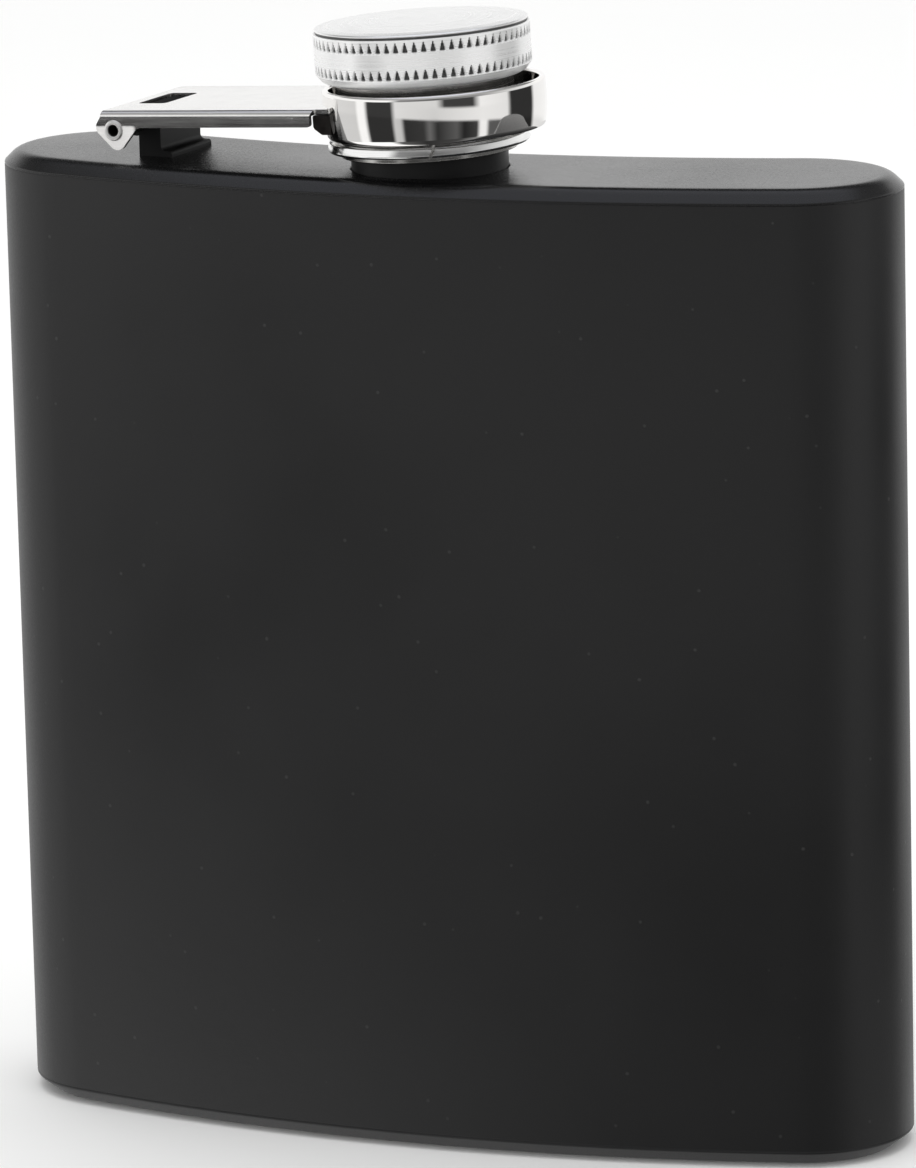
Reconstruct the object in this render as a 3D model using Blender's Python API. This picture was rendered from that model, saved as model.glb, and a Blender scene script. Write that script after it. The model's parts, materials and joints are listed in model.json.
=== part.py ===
"""Curved pocket hip flask with a captive screw cap.

A welded sheet body (wrap, top plate, bottom plate) carries a screw neck and a
small hinge bracket. A channel-shaped arm turns on a hollow rivet in the bracket
and ends in a collar. The screw cap hangs in that collar and spins in it.

Metres, +Z up. The origin is on the resting face, under the axis of the neck.
-Y is the bulging front of the flask, +Y the hollow back.
"""
import math

import bmesh
import bpy
from mathutils import Matrix

# ---- body: a thick arc in plan, with full round ends ----
WIDTH = 0.0920
THICKNESS = 0.0208
BODY_HEIGHT = 0.0957
BEND_RADIUS = 0.1467
SHEET = 0.0006
PLATE = 0.0008
SKIRT_DEPTH = 0.0040
SIDE_STEPS = 14
END_STEPS = 10

# ---- rims: how far in and how far towards the face, from the wall's end ----
TOP_RIM = ((0.0, 0.0), (0.00015, 0.00035), (0.0008, 0.00095), (0.0013, 0.00115), (0.0019, 0.0012))
BOTTOM_RIM = ((0.0, 0.0), (0.00024, 0.0007), (0.0009, 0.00121), (0.0018, 0.0014))

# ---- clearances ----
GAP = 0.0003
RUNNING_GAP = 0.00008

# ---- neck, heights above the top plate ----
NECK_RADIUS = 0.0076
NECK_BORE = 0.0061
THREAD_RADIUS = 0.00725
THREAD_START = 0.0022
NECK_HEIGHT = 0.0090
NECK_FLANGE = 0.0084

# ---- hinge ----
HINGE_REACH = 0.03015
PIN_HEIGHT = 0.00315
PIN_RADIUS = 0.0008
PIN_BORE = 0.0005
PIN_HEAD = (0.00115, 0.0003)
KNUCKLE_RADIUS = 0.00120
BRACKET_HALF_WIDTH = 0.0040
BRACKET_LEG = (0.0003, 0.0027)
BRACKET_FOOT = 0.0039
BRACKET_SHEET = 0.0006

# ---- arm and collar, in the arm's own tilted frame ----
ARM_TILT = math.radians(3.2)
ARM_HALF_WIDTH = 0.0084
ARM_TOP = 0.00190
ARM_EDGE = 0.0003
ARM_SHEET = 0.0005
ARM_BEND = 0.0007
ARM_END = -0.0013
ARM_WALL_END = 0.0216
EAR_CORNERS = ((-0.00215, 0.0002), (0.00030, -0.00230), (0.00250, ARM_EDGE + 0.0001))
EAR_EASE = 0.0007
WINDOW = (0.0, 0.0031)
WINDOW_HALF_WIDTH = 0.0034
COLLAR_CENTRE = 0.03095
COLLAR_MIDDLE = 0.00105
COLLAR_HEIGHT = 0.0047
COLLAR_RADIUS = 0.01080
COLLAR_WALL = 0.00065
COLLAR_LIP = 0.0097

# ---- cap, heights above the top plate; it sits loose and leans towards the hinge ----
CAP_TILT = math.radians(3.0)
CAP_PIVOT = 0.0015
CAP_RADIUS = 0.01045
CAP_BOTTOM = 0.0088
CAP_TOP = 0.01445
CAP_INNER = 0.0093
CAP_CEILING = 0.0132
CORE_RADIUS = 0.00855
CORE_BORE = 0.0080
CORE_BOTTOM = 0.00155
CORE_CEILING = 0.0113
CORE_HEAD = 0.0090
SEAL_RADIUS = 0.0077
SEAL_HEIGHT = 0.0098
SEAL_THICKNESS = 0.0012
RING_BOTTOM = 0.0021
RING_HEIGHT = 0.0010
RING_RADIUS = 0.0098
RING_SLIT = 0.0004
RING_SLIT_ANGLE = math.radians(-61.0)
RING_SLIT_SLANT = math.radians(25.0)

TURN_STEPS = 48


# ---------------------------------------------------------------- helpers
def clear_scene():
    for item in list(bpy.data.objects):
        bpy.data.objects.remove(item, do_unlink=True)


def material(name, colour, roughness, metallic):
    made = bpy.data.materials.new(name)
    made.use_nodes = True
    shader = made.node_tree.nodes["Principled BSDF"]
    shader.inputs["Base Color"].default_value = (*colour, 1.0)
    shader.inputs["Roughness"].default_value = roughness
    shader.inputs["Metallic"].default_value = metallic
    return made


def add_object(name, bm, look=None, parent=None):
    """Turn a bmesh into a named object with its faces pointing out."""
    bmesh.ops.recalc_face_normals(bm, faces=bm.faces)
    mesh = bpy.data.meshes.new(name)
    bm.to_mesh(mesh)
    bm.free()
    mesh.shade_smooth()
    mesh.set_sharp_from_angle(angle=math.radians(35.0))
    made = bpy.data.objects.new(name, mesh)
    bpy.context.scene.collection.objects.link(made)
    if look is not None:
        mesh.materials.append(look)
    made.parent = parent
    return made


def add_empty(name, place, turn=(0.0, 0.0, 0.0), parent=None):
    made = bpy.data.objects.new(name, None)
    bpy.context.scene.collection.objects.link(made)
    made.location = place
    made.rotation_euler = turn
    made.parent = parent
    return made


def stack(rings, closed=False):
    """Skin a list of rings; a closed stack joins its last ring to its first."""
    bm = bmesh.new()
    loops = [[bm.verts.new(point) for point in ring] for ring in rings]
    pairs = list(zip(loops, loops[1:]))
    if closed:
        pairs.append((loops[-1], loops[0]))
    for low, high in pairs:
        for i in range(len(low)):
            j = (i + 1) % len(low)
            bm.faces.new((low[i], low[j], high[j], high[i]))
    if not closed:
        bm.faces.new(loops[0])
        bm.faces.new(loops[-1])
    return bm


def circle(radius, height, steps=TURN_STEPS):
    angles = [2.0 * math.pi * i / steps for i in range(steps)]
    return [(radius * math.cos(a), radius * math.sin(a), height) for a in angles]


def turned(profile, closed=False, steps=TURN_STEPS):
    """A turned solid from (radius, height) pairs."""
    return stack([circle(radius, height, steps) for radius, height in profile], closed)


def prism(outline, half_width):
    """Extrude an (x, z) outline along Y to both sides."""
    near = [(x, -half_width, z) for x, z in outline]
    far = [(x, half_width, z) for x, z in outline]
    return stack([near, far])


def arc(centre, radius, start, end, steps):
    """Points from angle start to angle end, in degrees, both ends included."""
    points = []
    for i in range(steps + 1):
        a = math.radians(start + (end - start) * i / steps)
        points.append((centre[0] + radius * math.cos(a), centre[1] + radius * math.sin(a)))
    return points


def eased(corner, before, after, steps=5):
    """Round a corner of an outline by EAR_EASE, as a short curve between its two sides."""
    points = []
    for i in range(steps + 1):
        t = i / steps
        point = []
        for here, back, ahead in zip(corner, before, after):
            start = here + (back - here) * EAR_EASE / math.dist(corner, before)
            end = here + (ahead - here) * EAR_EASE / math.dist(corner, after)
            point.append((1 - t) ** 2 * start + 2 * t * (1 - t) * here + t ** 2 * end)
        points.append(tuple(point))
    return points


def cutter(name, bm, parent=None, place=(0.0, 0.0, 0.0), turn=(0.0, 0.0, 0.0)):
    made = add_object(name, bm, parent=parent)
    made.location = place
    made.rotation_euler = turn
    made.hide_render = True
    made.display_type = "WIRE"
    return made


def combine(target, tool, operation):
    step = target.modifiers.new(tool.name, "BOOLEAN")
    step.operation = operation
    step.solver = "EXACT"
    step.object = tool


# ------------------------------------------------------------------- body
def flask_outline(inset, height):
    """The flask's plan outline, moved inwards by inset."""
    half = THICKNESS / 2.0
    reach = math.asin((WIDTH / 2.0 - half) / BEND_RADIUS)
    points = []

    def side(radius, start, end):
        for i in range(SIDE_STEPS):
            a = start + (end - start) * i / SIDE_STEPS
            points.append((radius * math.sin(a), BEND_RADIUS - radius * math.cos(a), height))

    def end_cap(angle, sign):
        x = BEND_RADIUS * math.sin(angle)
        y = BEND_RADIUS - BEND_RADIUS * math.cos(angle)
        start = angle - sign * math.pi / 2.0
        for i in range(END_STEPS):
            a = start + math.pi * i / END_STEPS
            points.append((x + (half - inset) * math.cos(a),
                           y + (half - inset) * math.sin(a), height))

    side(BEND_RADIUS + half - inset, -reach, reach)
    end_cap(reach, 1.0)
    side(BEND_RADIUS - half + inset, reach, -reach)
    end_cap(-reach, -1.0)
    return points


def body_wrap(look):
    low = BOTTOM_RIM[-1][1] + GAP
    high = BODY_HEIGHT - TOP_RIM[-1][1] - GAP
    rings = [flask_outline(0.0, low), flask_outline(0.0, high),
             flask_outline(SHEET, high), flask_outline(SHEET, low)]
    return add_object("body_wrap", stack(rings, closed=True), look)


def end_plate(name, look, face, inwards, rim):
    """A pressed end: flat face, rounded rim and a skirt inside the wrap."""
    edge = face + inwards * rim[-1][1]
    skirt_end = edge + inwards * SKIRT_DEPTH
    outer = SHEET + GAP
    inner = outer + SHEET
    rings = [flask_outline(inner, face + inwards * PLATE), flask_outline(inner, skirt_end),
             flask_outline(outer, skirt_end), flask_outline(outer, edge)]
    rings += [flask_outline(inset, edge - inwards * rise) for inset, rise in rim]
    return add_object(name, stack(rings), look)


def top_plate(look):
    made = end_plate("top_plate", look, BODY_HEIGHT, -1.0, TOP_RIM)
    hole = turned([(NECK_RADIUS + GAP, BODY_HEIGHT - 0.003), (NECK_RADIUS + GAP, BODY_HEIGHT + 0.003)])
    combine(made, cutter("cut_neck_hole", hole), "DIFFERENCE")
    return made


def neck_spout(look, deck):
    under = -PLATE - GAP
    flange_low = under - 0.0007
    lip = 0.0003
    profile = [(NECK_FLANGE, flange_low), (NECK_FLANGE, under), (NECK_RADIUS, under),
               (NECK_RADIUS, THREAD_START - lip), (THREAD_RADIUS, THREAD_START),
               (THREAD_RADIUS, NECK_HEIGHT - lip), (THREAD_RADIUS - lip, NECK_HEIGHT),
               (NECK_BORE + lip, NECK_HEIGHT), (NECK_BORE, NECK_HEIGHT - lip),
               (NECK_BORE, flange_low)]
    return add_object("neck_spout", turned(profile, closed=True), look, deck)


# ------------------------------------------------------------------ hinge
def hinge_bracket(look, foot_frame):
    """Knuckle round the rivet, with its leg and foot on the cap side."""
    sole = -PIN_HEIGHT + GAP
    foot_top = sole + BRACKET_SHEET
    left, right = BRACKET_LEG
    outline = [(left, sole), (BRACKET_FOOT, sole), (BRACKET_FOOT, foot_top),
               (right + 0.0004, foot_top), (right, foot_top + 0.0004),
               (right, 0.0007), (right - 0.0003, 0.0010)]
    outline += arc((0.0, 0.0), KNUCKLE_RADIUS, 60.0, 284.0, 12)
    made = add_object("hinge_bracket", prism(outline, BRACKET_HALF_WIDTH), look, foot_frame)
    bore = turned([(PIN_RADIUS + RUNNING_GAP, -0.006), (PIN_RADIUS + RUNNING_GAP, 0.006)], steps=32)
    tool = cutter("cut_knuckle_bore", bore, foot_frame, turn=(math.pi / 2.0, 0.0, 0.0))
    combine(made, tool, "DIFFERENCE")
    return made


def hinge_pin(look, arm_frame):
    """Hollow rivet with a flared head outside each ear."""
    head_radius, head_depth = PIN_HEAD
    inside = ARM_HALF_WIDTH + 0.0001
    outside = inside + head_depth
    profile = [(PIN_BORE, -outside + 0.0003), (PIN_BORE + 0.00015, -outside),
               (head_radius - 0.0002, -outside), (head_radius, -inside - 0.0001),
               (head_radius, -inside), (PIN_RADIUS, -inside)]
    profile += [(radius, -height) for radius, height in reversed(profile)]
    made = add_object("hinge_pin", turned(profile, closed=True, steps=32), look, arm_frame)
    made.rotation_euler = (math.pi / 2.0, 0.0, 0.0)
    return made


def lid_arm(look, arm_frame):
    """Channel strap with a window, two ears and an end cut to the collar."""
    wide = ARM_HALF_WIDTH
    inner = wide - ARM_SHEET
    under = ARM_TOP - ARM_SHEET
    bend = arc((wide - ARM_BEND, ARM_TOP - ARM_BEND), ARM_BEND, 0.0, 90.0, 4)
    half = [(inner, ARM_EDGE), (wide, ARM_EDGE)] + bend
    outline = half + [(-y, z) for y, z in reversed(half)]
    outline += [(-inner, under), (inner, under)]
    rings = [[(x, y, z) for y, z in outline] for x in (ARM_END, COLLAR_CENTRE - 0.0052)]
    made = add_object("lid_arm", stack(rings), look, arm_frame)

    shy = 0.00002
    for side in (-1.0, 1.0):
        middle = side * (wide + inner) / 2.0
        half_sheet = ARM_SHEET / 2.0 - shy
        ear_outline = [(ARM_END + 0.0001, ARM_TOP - ARM_BEND)]
        ear_outline += eased(EAR_CORNERS[0], ear_outline[0], EAR_CORNERS[1])
        ear_outline += eased(EAR_CORNERS[1], EAR_CORNERS[0], EAR_CORNERS[2])
        ear_outline += [EAR_CORNERS[2], (EAR_CORNERS[2][0], ARM_TOP - ARM_BEND)]
        near = [(x, middle - half_sheet, z) for x, z in ear_outline]
        far = [(x, middle + half_sheet, z) for x, z in ear_outline]
        ear = cutter("add_ear_left" if side < 0 else "add_ear_right", stack([near, far]), arm_frame)
        combine(made, ear, "UNION")

    hole = turned([(PIN_RADIUS + RUNNING_GAP, -0.01), (PIN_RADIUS + RUNNING_GAP, 0.01)], steps=32)
    tool = cutter("cut_ear_holes", hole, arm_frame, turn=(math.pi / 2.0, 0.0, 0.0))
    combine(made, tool, "DIFFERENCE")

    left, right = WINDOW
    window = [(left, under - 0.0005), (right, under - 0.0005),
              (right, ARM_TOP + 0.001), (left, ARM_TOP + 0.001)]
    combine(made, cutter("cut_window", prism(window, WINDOW_HALF_WIDTH), arm_frame), "DIFFERENCE")
    side = [(wide + 0.001, ARM_EDGE - 0.001), (wide + 0.001, ARM_TOP + 0.001),
            (wide - ARM_BEND, ARM_TOP + 0.001), (wide - ARM_BEND, under - 0.0002)]
    channel = side + [(-y, z) for y, z in reversed(side)]
    ends = [[(x, y, z) for y, z in channel] for x in (ARM_WALL_END, COLLAR_CENTRE)]
    combine(made, cutter("cut_wall_ends", stack(ends), arm_frame), "DIFFERENCE")

    around = COLLAR_RADIUS + GAP
    room = turned([(around, -0.003), (around, 0.005)])
    tool = cutter("cut_collar_room", room, arm_frame, place=(COLLAR_CENTRE, 0.0, 0.0))
    combine(made, tool, "DIFFERENCE")
    return made


def collar_ring(look, arm_frame):
    """Band round the cap's stem, with an inner lip near its lower edge."""
    inner = COLLAR_RADIUS - COLLAR_WALL
    low = -COLLAR_HEIGHT / 2.0
    high = COLLAR_HEIGHT / 2.0
    ease = 0.0002
    lip_low = low + 0.0006
    lip_high = lip_low + 0.0007
    profile = [(COLLAR_RADIUS - ease, low), (COLLAR_RADIUS, low + ease),
               (COLLAR_RADIUS, high - ease), (COLLAR_RADIUS - ease, high),
               (inner, high), (inner, lip_high), (COLLAR_LIP, lip_high),
               (COLLAR_LIP, lip_low), (inner, lip_low), (inner, low)]
    made = add_object("collar_ring", turned(profile, closed=True), look, arm_frame)
    made.location = (COLLAR_CENTRE, 0.0, COLLAR_MIDDLE)
    return made


# -------------------------------------------------------------------- cap
def cap_shell(look, cap_frame):
    """Pressed outer shell of the cap, open below."""
    profile = [(CAP_INNER, CAP_CEILING), (CAP_INNER, CAP_BOTTOM + 0.0001),
               (CAP_INNER + 0.0001, CAP_BOTTOM), (CAP_RADIUS - 0.0009, CAP_BOTTOM + 0.0001),
               (CAP_RADIUS - 0.0004, CAP_BOTTOM + 0.0006),
               (CAP_RADIUS - 0.0001, CAP_BOTTOM + 0.0011), (CAP_RADIUS, CAP_BOTTOM + 0.0016),
               (CAP_RADIUS, CAP_TOP - 0.0006), (CAP_RADIUS - 0.0003, CAP_TOP - 0.0004),
               (CAP_RADIUS - 0.0014, CAP_TOP - 0.00025), (0.0060, CAP_TOP - 0.0001),
               (0.0030, CAP_TOP)]
    return add_object("cap_shell", turned(profile), look, cap_frame)


def cap_core(look, cap_frame):
    """Threaded sleeve pressed into the shell; its head closes it above."""
    profile = [(CORE_HEAD, CORE_CEILING + 0.0012), (CORE_HEAD, CORE_CEILING - 0.0002),
               (CORE_RADIUS, CORE_CEILING - 0.0008), (CORE_RADIUS, CORE_BOTTOM),
               (CORE_BORE + 0.0001, CORE_BOTTOM), (CORE_BORE, CORE_BOTTOM + 0.0002),
               (CORE_BORE, CORE_CEILING)]
    return add_object("cap_core", turned(profile), look, cap_frame)


def seal_disc(look, cap_frame):
    low = SEAL_HEIGHT
    high = low + SEAL_THICKNESS
    profile = [(SEAL_RADIUS - 0.0002, low), (SEAL_RADIUS, low + 0.0002),
               (SEAL_RADIUS, high - 0.0002), (SEAL_RADIUS - 0.0002, high)]
    return add_object("seal_disc", turned(profile), look, cap_frame)


def retaining_ring(look, cap_frame):
    """Split ring under the collar, with a slanted slit."""
    inner = CORE_RADIUS + 0.0002
    low = RING_BOTTOM
    high = low + RING_HEIGHT
    profile = [(inner, low), (RING_RADIUS - 0.0002, low), (RING_RADIUS, low + 0.0002),
               (RING_RADIUS - 0.0001, high - 0.0001), (RING_RADIUS - 0.0002, high), (inner, high)]
    made = add_object("retaining_ring", turned(profile, closed=True), look, cap_frame)
    bm = bmesh.new()
    bmesh.ops.create_cube(bm, size=1.0, matrix=Matrix.Diagonal((0.003, RING_SLIT, 0.006, 1.0)))
    middle = (inner + RING_RADIUS) / 2.0
    place = (middle * math.cos(RING_SLIT_ANGLE), middle * math.sin(RING_SLIT_ANGLE),
             (low + high) / 2.0)
    slit = cutter("cut_ring_slit", bm, cap_frame, place, (RING_SLIT_SLANT, 0.0, RING_SLIT_ANGLE))
    combine(made, slit, "DIFFERENCE")
    return made


# ------------------------------------------------------------------ build
def build():
    clear_scene()
    black_coat = material("black_coat", (0.030, 0.031, 0.034), 0.45, 0.0)
    gloss_black = material("gloss_black", (0.030, 0.031, 0.034), 0.25, 0.0)
    bright_steel = material("bright_steel", (0.80, 0.79, 0.77), 0.25, 1.0)
    polished_steel = material("polished_steel", (0.86, 0.86, 0.86), 0.06, 1.0)
    sealing_rubber = material("sealing_rubber", (0.55, 0.55, 0.53), 0.55, 0.0)

    body_wrap(black_coat)
    top_plate(gloss_black)
    end_plate("bottom_plate", black_coat, 0.0, 1.0, BOTTOM_RIM)

    deck = add_empty("deck", (0.0, 0.0, BODY_HEIGHT))
    neck_spout(gloss_black, deck)

    bend = 2.0 * math.asin(HINGE_REACH / (2.0 * BEND_RADIUS))
    hinge_place = (-BEND_RADIUS * math.sin(bend), BEND_RADIUS * (1.0 - math.cos(bend)), PIN_HEIGHT)
    hinge_frame = add_empty("hinge_frame", hinge_place, (0.0, 0.0, -bend / 2.0), deck)
    hinge_bracket(gloss_black, hinge_frame)

    arm_frame = add_empty("arm_frame", (0.0, 0.0, 0.0), (0.0, -ARM_TILT, 0.0), hinge_frame)
    hinge_pin(polished_steel, arm_frame)
    lid_arm(bright_steel, arm_frame)
    collar_ring(polished_steel, arm_frame)

    cap_pivot = add_empty("cap_pivot", (0.0, 0.0, CAP_PIVOT), (0.0, -CAP_TILT, -bend / 2.0), deck)
    cap_frame = add_empty("cap_frame", (0.0, 0.0, -CAP_PIVOT), parent=cap_pivot)
    cap_shell(bright_steel, cap_frame)
    cap_core(bright_steel, cap_frame)
    seal_disc(sealing_rubber, cap_frame)
    retaining_ring(bright_steel, cap_frame)


build()
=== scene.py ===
"""Curved pocket hip flask: the visual model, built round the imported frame.

Shapes are written in millimetres in their own frames and scaled once, in piece().
-Y is the bulging front, +X points away from the hinge, +Z runs up the neck.
"""
import json
import math

import bmesh
import bpy
from mathutils import Matrix, Vector


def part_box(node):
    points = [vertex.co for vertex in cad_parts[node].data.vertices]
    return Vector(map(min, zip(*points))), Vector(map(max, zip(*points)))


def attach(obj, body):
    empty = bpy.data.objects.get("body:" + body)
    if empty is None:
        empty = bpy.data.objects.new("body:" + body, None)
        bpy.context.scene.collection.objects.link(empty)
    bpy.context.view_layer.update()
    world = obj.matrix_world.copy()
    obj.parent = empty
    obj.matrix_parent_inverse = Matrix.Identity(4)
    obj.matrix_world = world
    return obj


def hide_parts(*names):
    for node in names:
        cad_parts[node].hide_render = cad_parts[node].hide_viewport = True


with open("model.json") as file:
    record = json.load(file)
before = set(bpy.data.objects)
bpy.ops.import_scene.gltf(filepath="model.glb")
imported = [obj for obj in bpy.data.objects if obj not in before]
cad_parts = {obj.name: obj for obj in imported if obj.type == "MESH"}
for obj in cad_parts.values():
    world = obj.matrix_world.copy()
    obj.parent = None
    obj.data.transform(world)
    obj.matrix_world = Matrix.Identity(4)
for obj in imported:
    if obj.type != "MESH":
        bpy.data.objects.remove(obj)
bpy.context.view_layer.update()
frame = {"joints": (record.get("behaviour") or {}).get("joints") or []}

MM = 0.001
JOINTS = {joint["name"]: joint for joint in frame["joints"]}

# ---- places and sizes read from the frame ----
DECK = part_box("top_plate")[1][2]
BODY_HEIGHT = DECK / MM
PIN = Vector(JOINTS["arm_hinge"]["pos_m"])
PIN_AXIS = Vector(JOINTS["arm_hinge"]["axis"])
ARM_YAW = math.atan2(-PIN_AXIS[0], -PIN_AXIS[1])
ARM_TILT = math.radians(3.2)
DECK_FRAME = Matrix.Translation((0.0, 0.0, DECK))
BRACKET_FRAME = Matrix.Translation(PIN) @ Matrix.Rotation(-ARM_YAW, 4, "Z")
ARM_FRAME = BRACKET_FRAME @ Matrix.Rotation(-ARM_TILT, 4, "Y")
ACROSS_ARM = ARM_FRAME @ Matrix.Rotation(math.pi / 2.0, 4, "X")
SPIN = Vector(JOINTS["cap_spin"]["pos_m"])
SPIN_AXIS = Vector(JOINTS["cap_spin"]["axis"])
CAP_LEAN = Vector((0.0, 0.0, 1.0)).rotation_difference(SPIN_AXIS).to_matrix().to_4x4()
CAP_FRAME = Matrix.Translation(SPIN) @ CAP_LEAN @ Matrix.Translation((0.0, 0.0, DECK - SPIN[2]))

# ---- body, millimetres ----
HALF_WIDTH = 46.0
HALF_THICKNESS = 10.4
BEND_RADIUS = 146.7
SHEET = 0.6
PLATE = 0.8
TOP_RIM = ((0.0, -0.25), (0.0, 0.0, 0.50), (1.25, 1.20, 1.90), (3.0, 1.20))
BOTTOM_RIM = ((0.0, -0.25), (0.0, 0.0, 0.45), (1.80, 1.40, 0.60), (3.0, 1.40))
SKIRT_DEPTH = 4.0

# ---- arm, collar and hinge, millimetres from the hinge axis ----
COLLAR_CENTRE = 30.95
COLLAR_MIDDLE = 1.05
COLLAR_HEIGHT = 4.7
COLLAR_RADIUS = 10.80
ARM_HALF_WIDTH = 8.4
ARM_SHEET = 0.5
ARM_TOP = 1.90
ARM_EDGE = 0.25
ARM_BEND = 0.6
ARM_END = -1.3
ARM_WALL_END = 22.0
EAR_CORNERS = ((-2.20, 0.20, 0.8), (0.30, -2.35, 0.9), (2.60, ARM_EDGE, 0.9))
WINDOW = (0.0, 3.1)
WINDOW_HALF_WIDTH = 3.4
PIN_RADIUS = 0.8
PIN_HEIGHT = 3.15
KNUCKLE_RADIUS = 1.20
BRACKET_HALF_WIDTH = 4.0
BLOCK = (0.3, 2.7)
BLOCK_TOP = 1.28
FOOT_END = 3.9
FOOT_SHEET = 0.6
TONGUE = (0.25, 2.45)
TONGUE_HALF_WIDTH = 3.15
TONGUE_TOP = 1.72
GUSSET_FOOT = -0.55

# ---- cap, millimetres above the deck ----
CAP_RADIUS = 10.45
CAP_BOTTOM = 8.8
CAP_TOP = 14.45
CAP_TEETH = 72
TOOTH_ROWS = (10.25, 12.85)
TOOTH_HEIGHT = 0.95
THREAD_PITCH = 1.5

# ---- camera: focal length as a share of the picture's height, then its place ----
FOCAL_SHARE = 6.571918
CAMERA_DISTANCE = 0.7497
CAMERA_TURN = math.radians(21.4)
CAMERA_DROP = math.radians(12.7)
CAMERA_ROLL = math.radians(-1.35)
CAMERA_SIDE = 0.00163
CAMERA_RISE = 0.0043
CAMERA_TARGET = Vector((0.0, 0.0, 0.050))

# ---- floor, millimetres below the resting face ----
FLOOR_DROP = 0.02


# ================================================================ mesh tools
def soften(corners, steps=4, closed=True):
    """Round the corners of an outline; a corner is (x, y) or (x, y, radius)."""
    points = []
    count = len(corners)
    for i, corner in enumerate(corners):
        here = Vector(corner[:2])
        radius = corner[2] if len(corner) > 2 else 0.0
        at_end = not closed and i in (0, count - 1)
        if radius == 0.0 or at_end:
            points.append(tuple(here))
            continue
        back = Vector(corners[i - 1][:2]) - here
        ahead = Vector(corners[(i + 1) % count][:2]) - here
        room = 0.499 * min(back.length, ahead.length)
        back.normalize()
        ahead.normalize()
        half = back.angle(ahead) / 2.0
        reach = min(radius / math.tan(half), room)
        radius = reach * math.tan(half)
        centre = here + (back + ahead).normalized() * (radius / math.sin(half))
        start = here + back * reach - centre
        sweep = start.angle_signed(here + ahead * reach - centre)
        for k in range(steps + 1):
            turn = Matrix.Rotation(-sweep * k / steps, 2)
            points.append(tuple(centre + turn @ start))
    return points


def arc(radius, start, end, steps):
    """Points on a circle round the origin, angles in degrees."""
    angles = [math.radians(start + (end - start) * i / steps) for i in range(steps + 1)]
    return [(radius * math.cos(a), radius * math.sin(a)) for a in angles]


def skin(rings, closed=False):
    """Quads between successive rings of points, capped at both ends unless the rings are closed."""
    bm = bmesh.new()
    loops = [[bm.verts.new(point) for point in ring] for ring in rings]
    pairs = list(zip(loops, loops[1:]))
    if closed:
        pairs.append((loops[-1], loops[0]))
    for low, high in pairs:
        for i in range(len(low)):
            j = (i + 1) % len(low)
            bm.faces.new((low[i], low[j], high[j], high[i]))
    if not closed:
        bm.faces.new(loops[0])
        bm.faces.new(loops[-1])
    return bm


def turned(profile, steps=128, closed=True, shift=None):
    """A turned solid from (radius, height); shift(radius, height, angle) may move the radius."""
    rings = []
    for radius, height in profile:
        ring = []
        for i in range(steps):
            a = 2.0 * math.pi * i / steps
            r = radius if shift is None else shift(radius, height, a)
            ring.append((r * math.cos(a), r * math.sin(a), height))
        rings.append(ring)
    return skin(rings, closed)


def subdivided(start, end, count):
    """Points between two profile points, the first included."""
    return [(start[0] + (end[0] - start[0]) * i / count,
             start[1] + (end[1] - start[1]) * i / count) for i in range(count)]


def filled(outline, holes=()):
    """A flat region in XY, with holes, as triangles."""
    bm = bmesh.new()
    edges = []
    for loop in (outline, *holes):
        verts = [bm.verts.new((x, y, 0.0)) for x, y in loop]
        edges += [bm.edges.new((verts[i - 1], verts[i])) for i in range(len(verts))]
    bmesh.ops.triangle_fill(bm, edges=edges, use_beauty=True, use_dissolve=False, normal=(0, 0, 1))
    return bm


def thick(bm, low, high):
    """Give a flat XY region a thickness from z=low to z=high."""
    bmesh.ops.translate(bm, verts=bm.verts, vec=(0.0, 0.0, low))
    made = bmesh.ops.extrude_face_region(bm, geom=bm.faces[:])
    risen = [item for item in made["geom"] if isinstance(item, bmesh.types.BMVert)]
    bmesh.ops.translate(bm, verts=risen, vec=(0.0, 0.0, high - low))
    return bm


def joined(*parts):
    """One bmesh from several, with their shared points merged."""
    whole = bmesh.new()
    for part in parts:
        mesh = bpy.data.meshes.new("part")
        part.to_mesh(mesh)
        part.free()
        whole.from_mesh(mesh)
        bpy.data.meshes.remove(mesh)
    bmesh.ops.remove_doubles(whole, verts=whole.verts, dist=0.0005)
    return whole


def piece(name, bm, look, body, replaces=(), place=None, sharp=32.0, fix=True):
    """A finished piece: scaled to metres, placed, shaded, and riding on its body."""
    if fix:
        bmesh.ops.recalc_face_normals(bm, faces=bm.faces)
    bmesh.ops.scale(bm, verts=bm.verts, vec=(MM, MM, MM))
    mesh = bpy.data.meshes.new(name)
    bm.to_mesh(mesh)
    bm.free()
    mesh.shade_smooth()
    mesh.set_sharp_from_angle(angle=math.radians(sharp))
    mesh.materials.append(look)
    made = bpy.data.objects.new(name, mesh)
    bpy.context.scene.collection.objects.link(made)
    if place is not None:
        made.matrix_world = place
    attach(made, body)
    if replaces:
        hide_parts(*replaces)
    return made


def bevel(made, width):
    """Ease the piece's sharp edges."""
    step = made.modifiers.new("edges", "BEVEL")
    step.width = width * MM
    step.segments = 3
    step.limit_method = "ANGLE"
    step.angle_limit = math.radians(35.0)
    step.harden_normals = True


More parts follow.
